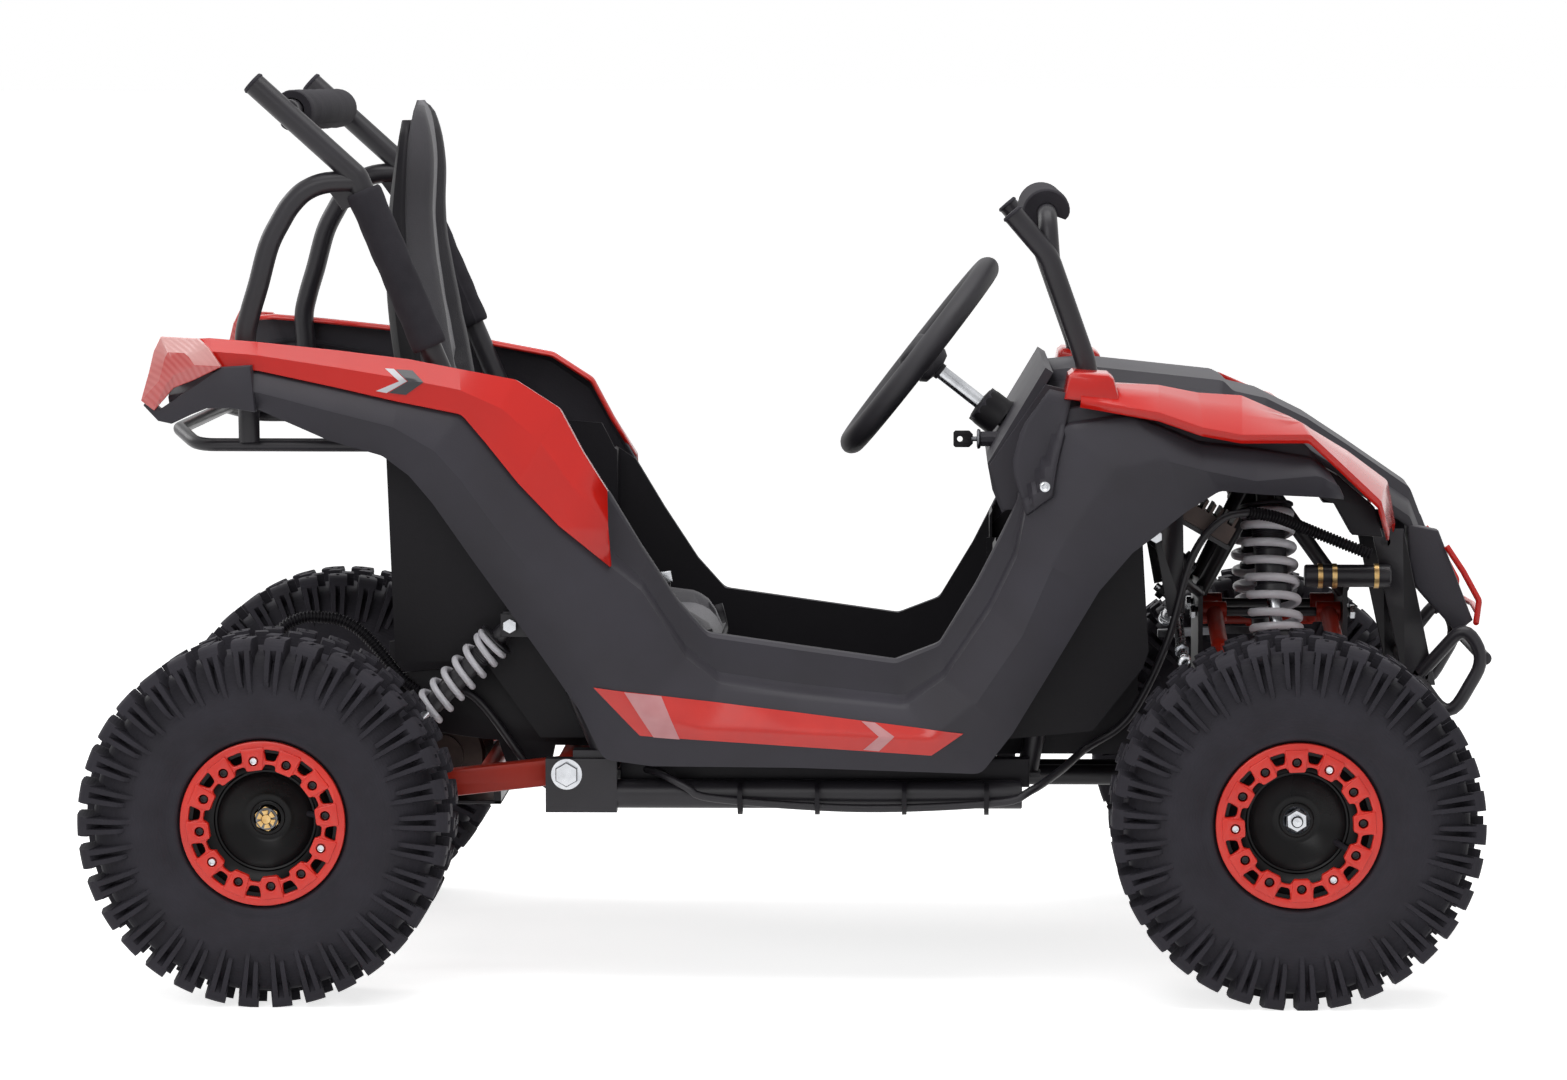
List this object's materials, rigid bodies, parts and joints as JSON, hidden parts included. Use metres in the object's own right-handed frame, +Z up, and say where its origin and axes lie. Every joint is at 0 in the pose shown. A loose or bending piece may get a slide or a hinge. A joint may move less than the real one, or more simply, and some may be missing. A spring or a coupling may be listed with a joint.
{
  "type": "off road go kart",
  "caption": "Single seat off road buggy kart with tube frame, padded roll cage, moulded fenders, lugged tyres, sprung arms and a chain driven rear axle.",
  "frame": {"origin": "on the ground below the middle of the kart's overall length and width", "axes": "+X points ahead along the kart's length, +Y to the kart's left, +Z up"},
  "size_m": [1.4568, 0.855, 0.9442],
  "materials": {
    "tube": "satin black paint",
    "charcoal": "fine grained moulding",
    "black_plastic": "matt",
    "red_gloss": "high gloss",
    "red_arm": "gloss paint",
    "rubber_tyre": "matt rubber",
    "ring_red": "satin paint",
    "spring_grey": "light grey coating",
    "shock_black": "satin black",
    "steel": "zinc plated",
    "foam": "closed cell foam",
    "vinyl": "grained vinyl",
    "battery_case": "moulded case"
  },
  "bodies": {
    "frame": {"main_frame": "tube", "rear_frame": "tube", "front_hoop": "tube", "rear_pad": "foam", "front_pad": "foam", "tub": "black_plastic", "dash": "charcoal", "bonnet": "charcoal", "seat_shell": "black_plastic", "seat_cushion": "vinyl", "battery": "battery_case", "controller": "black_plastic", "wiring_loom": "black_plastic", "cage_sleeve_right": "foam", "cage_sleeve_left": "foam", "side_panel_right": "charcoal", "side_panel_left": "charcoal", "front_trim_right": "red_gloss", "front_trim_left": "red_gloss", "rear_trim_right": "red_gloss", "rear_trim_left": "red_gloss"},
    "key": {"ignition_key": "steel"},
    "throttle": {"throttle_pedal": "steel"},
    "brake": {"brake_pedal": "steel"},
    "steering": {"steering_wheel": "shock_black"},
    "swing": {"swing_arm": "red_arm", "motor": "shock_black", "chain": "steel"},
    "motor_shaft": {"motor_sprocket": "steel"},
    "rear_wheels": {"rear_axle": "steel", "tyre_rear_right": "rubber_tyre", "tyre_rear_left": "rubber_tyre", "rim_rear_right": "ring_red", "rim_rear_left": "ring_red"},
    "rear_damper_right": {"rear_shock_body_right": "shock_black", "rear_spring_right": "spring_grey"},
    "rear_piston_right": {"rear_shock_rod_right": "steel"},
    "lower_right": {"lower_arm_right": "red_arm"},
    "upper_right": {"upper_arm_right": "red_arm"},
    "carrier_right": {"upright_right": "shock_black"},
    "stub_right": {"spindle_right": "steel"},
    "front_wheel_right": {"tyre_front_right": "rubber_tyre", "rim_front_right": "ring_red"},
    "front_damper_right": {"front_shock_body_right": "shock_black", "front_spring_right": "spring_grey"},
    "front_piston_right": {"front_shock_rod_right": "steel"},
    "tie_right": {"tie_rod_right": "steel"},
    "rear_damper_left": {"rear_shock_body_left": "shock_black", "rear_spring_left": "spring_grey"},
    "rear_piston_left": {"rear_shock_rod_left": "steel"},
    "lower_left": {"lower_arm_left": "red_arm"},
    "upper_left": {"upper_arm_left": "red_arm"},
    "carrier_left": {"upright_left": "shock_black"},
    "stub_left": {"spindle_left": "steel"},
    "front_wheel_left": {"tyre_front_left": "rubber_tyre", "rim_front_left": "ring_red"},
    "front_damper_left": {"front_shock_body_left": "shock_black", "front_spring_left": "spring_grey"},
    "front_piston_left": {"front_shock_rod_left": "steel"},
    "tie_left": {"tie_rod_left": "steel"}
  },
  "joints": [
    {"name": "swing_pivot", "type": "hinge", "parent": "frame", "child": "swing", "pos_m": [-0.24, 0, 0.222], "axis": [0, 1, 0], "range_deg": [-6, 8], "stiffness_Nm_per_rad": 600, "springref_deg": -7.05},
    {"name": "rear_axle_spin", "type": "hinge", "parent": "swing", "child": "rear_wheels", "pos_m": [-0.5405, 0, 0.18775], "axis": [0, 1, 0], "continuous": true},
    {"name": "motor_spin", "type": "hinge", "parent": "swing", "child": "motor_shaft", "pos_m": [-0.39, 0, 0.2133], "axis": [0, 1, 0], "continuous": true},
    {"name": "rear_damper_right_tilt", "type": "hinge", "parent": "frame", "child": "rear_damper_right", "pos_m": [-0.3, -0.24, 0.374], "axis": [0, 1, 0], "range_deg": [-4.2, 5.5]},
    {"name": "rear_damper_right_stroke", "type": "slide", "parent": "rear_damper_right", "child": "rear_piston_right", "axis": [0.6994, 0, 0.7147], "range_m": [-0.0165, 0.022], "deforming": ["rear_spring_right"]},
    {"name": "lower_arm_right_swing", "type": "hinge", "parent": "frame", "child": "lower_right", "pos_m": [0.502, -0.05, 0.19], "axis": [-1, 0, 0], "range_deg": [-6, 6], "stiffness_Nm_per_rad": 250, "springref_deg": -4.58},
    {"name": "upper_arm_right_swing", "type": "hinge", "parent": "frame", "child": "upper_right", "pos_m": [0.502, -0.05, 0.37], "axis": [-1, 0, 0], "range_deg": [-6.1, 6.1]},
    {"name": "upright_right_tilt", "type": "hinge", "parent": "lower_right", "child": "carrier_right", "pos_m": [0.5095, -0.222, 0.156], "axis": [-1, 0, 0], "range_deg": [-6.1, 6.1]},
    {"name": "front_damper_right_tilt", "type": "hinge", "parent": "frame", "child": "front_damper_right", "pos_m": [0.489, -0.115, 0.52], "axis": [-1, 0, 0], "range_deg": [-0.6, 0.6]},
    {"name": "front_damper_right_stroke", "type": "slide", "parent": "front_damper_right", "child": "front_piston_right", "axis": [-0.0777, 0.2242, 0.9714], "range_m": [-0.015, 0.015], "deforming": ["front_spring_right"]},
    {"name": "front_wheel_right_spin", "type": "hinge", "parent": "stub_right", "child": "front_wheel_right", "pos_m": [0.5095, -0.355, 0.18775], "axis": [0, 1, 0], "continuous": true},
    {"name": "spindle_right_steer", "type": "hinge", "parent": "carrier_right", "child": "stub_right", "pos_m": [0.5095, -0.256, 0.18775], "axis": [0, 0, 1], "range_deg": [-18.5, 18.5]},
    {"name": "tie_rod_right_slide", "type": "slide", "parent": "upper_right", "child": "tie_right", "axis": [0, -1, 0], "range_m": [-0.036, 0.036]},
    {"name": "rear_damper_left_tilt", "type": "hinge", "parent": "frame", "child": "rear_damper_left", "pos_m": [-0.3, 0.24, 0.374], "axis": [0, 1, 0], "range_deg": [-4.2, 5.5]},
    {"name": "rear_damper_left_stroke", "type": "slide", "parent": "rear_damper_left", "child": "rear_piston_left", "axis": [0.6994, 0, 0.7147], "range_m": [-0.0165, 0.022], "deforming": ["rear_spring_left"]},
    {"name": "lower_arm_left_swing", "type": "hinge", "parent": "frame", "child": "lower_left", "pos_m": [0.502, 0.05, 0.19], "axis": [1, 0, 0], "range_deg": [-6, 6], "stiffness_Nm_per_rad": 250, "springref_deg": -4.58},
    {"name": "upper_arm_left_swing", "type": "hinge", "parent": "frame", "child": "upper_left", "pos_m": [0.502, 0.05, 0.37], "axis": [1, 0, 0], "range_deg": [-6.1, 6.1]},
    {"name": "upright_left_tilt", "type": "hinge", "parent": "lower_left", "child": "carrier_left", "pos_m": [0.5095, 0.222, 0.156], "axis": [1, 0, 0], "range_deg": [-6.1, 6.1]},
    {"name": "front_damper_left_tilt", "type": "hinge", "parent": "frame", "child": "front_damper_left", "pos_m": [0.489, 0.115, 0.52], "axis": [1, 0, 0], "range_deg": [-0.6, 0.6]},
    {"name": "front_damper_left_stroke", "type": "slide", "parent": "front_damper_left", "child": "front_piston_left", "axis": [-0.0777, -0.2242, 0.9714], "range_m": [-0.015, 0.015], "deforming": ["front_spring_left"]},
    {"name": "front_wheel_left_spin", "type": "hinge", "parent": "stub_left", "child": "front_wheel_left", "pos_m": [0.5095, 0.355, 0.18775], "axis": [0, 1, 0], "continuous": true},
    {"name": "spindle_left_steer", "type": "hinge", "parent": "carrier_left", "child": "stub_left", "pos_m": [0.5095, 0.256, 0.18775], "axis": [0, 0, 1], "range_deg": [-18.5, 18.5]},
    {"name": "tie_rod_left_slide", "type": "slide", "parent": "upper_left", "child": "tie_left", "axis": [0, -1, 0], "range_m": [-0.036, 0.036]},
    {"name": "steering_turn", "type": "hinge", "parent": "frame", "child": "steering", "pos_m": [0.1245, 0, 0.6425], "axis": [-0.788, 0, 0.6157], "range_deg": [-50, 50]},
    {"name": "throttle_press", "type": "hinge", "parent": "frame", "child": "throttle", "pos_m": [0.3, -0.095, 0.2443], "axis": [0, 1, 0], "range_deg": [0, 20], "stiffness_Nm_per_rad": 1.2, "springref_deg": -11.46},
    {"name": "brake_press", "type": "hinge", "parent": "frame", "child": "brake", "pos_m": [0.3, 0.095, 0.2443], "axis": [0, 1, 0], "range_deg": [0, 20], "stiffness_Nm_per_rad": 2.5, "springref_deg": -11.46},
    {"name": "key_turn", "type": "hinge", "parent": "frame", "child": "key", "pos_m": [0.196, -0.06, 0.556], "axis": [1, 0, 0], "range_deg": [0, 90]}
  ],
  "couplings": [
    {"joint": "motor_spin", "follows": "rear_axle_spin", "ratio": 4},
    {"joint": "rear_damper_right_tilt", "follows": "swing_pivot", "ratio": 0.667},
    {"joint": "rear_damper_right_stroke", "follows": "swing_pivot", "m_per_rad": 0.1502},
    {"joint": "upper_arm_right_swing", "follows": "lower_arm_right_swing", "ratio": 1},
    {"joint": "upright_right_tilt", "follows": "lower_arm_right_swing", "ratio": -1},
    {"joint": "front_damper_right_tilt", "follows": "lower_arm_right_swing", "ratio": 0.0792},
    {"joint": "front_damper_right_stroke", "follows": "lower_arm_right_swing", "m_per_rad": 0.1374},
    {"joint": "rear_damper_left_tilt", "follows": "swing_pivot", "ratio": 0.667},
    {"joint": "rear_damper_left_stroke", "follows": "swing_pivot", "m_per_rad": 0.1502},
    {"joint": "upper_arm_left_swing", "follows": "lower_arm_left_swing", "ratio": 1},
    {"joint": "upright_left_tilt", "follows": "lower_arm_left_swing", "ratio": -1},
    {"joint": "front_damper_left_tilt", "follows": "lower_arm_left_swing", "ratio": 0.0792},
    {"joint": "front_damper_left_stroke", "follows": "lower_arm_left_swing", "m_per_rad": 0.1374},
    {"joint": "spindle_right_steer", "follows": "steering_turn", "ratio": 0.36},
    {"joint": "tie_rod_right_slide", "follows": "steering_turn", "m_per_rad": 0.0392},
    {"joint": "spindle_left_steer", "follows": "steering_turn", "ratio": 0.36},
    {"joint": "tie_rod_left_slide", "follows": "steering_turn", "m_per_rad": 0.0392}
  ]
}
